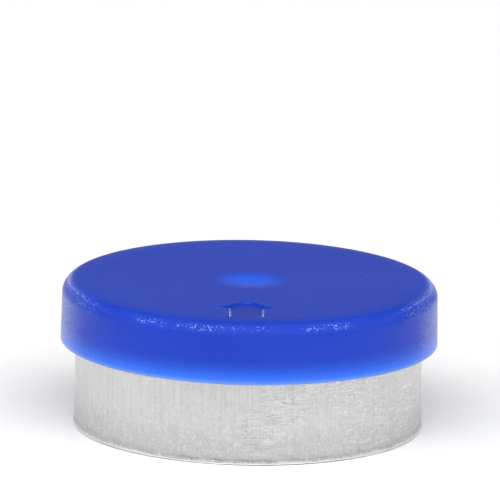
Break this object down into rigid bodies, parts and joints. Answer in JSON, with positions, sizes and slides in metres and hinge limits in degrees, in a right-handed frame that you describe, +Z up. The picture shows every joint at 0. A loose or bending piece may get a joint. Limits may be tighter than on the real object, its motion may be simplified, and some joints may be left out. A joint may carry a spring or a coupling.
{
  "type": "flip-off vial seal",
  "caption": "Low round aluminium cap with a slightly wider blue plastic button riveted to its tear-out centre; crimps over a medicine vial's stopper and flips open.",
  "frame": {"origin": "centre of the skirt's open rim, in the plane of the rim", "axes": "+Z up through the middle of the button; -Y towards the side with the flip arrow, +Y towards the edge that the button tips up about; +X to the right, seen from the arrow side"},
  "size_m": [0.0222, 0.0222, 0.0087],
  "materials": {
    "aluminium": "drawn, satin",
    "blue_plastic": "satin, slightly translucent"
  },
  "bodies": {
    "shell": {"aluminium_shell": "aluminium"},
    "button": {"flip_button": "blue_plastic", "tear_tab": "aluminium"}
  },
  "joints": [
    {"name": "button_flip", "type": "hinge", "parent": "shell", "child": "button", "pos_m": [0, 0.0104, 0.00505], "axis": [-1, 0, 0], "range_deg": [0, 60]}
  ]
}
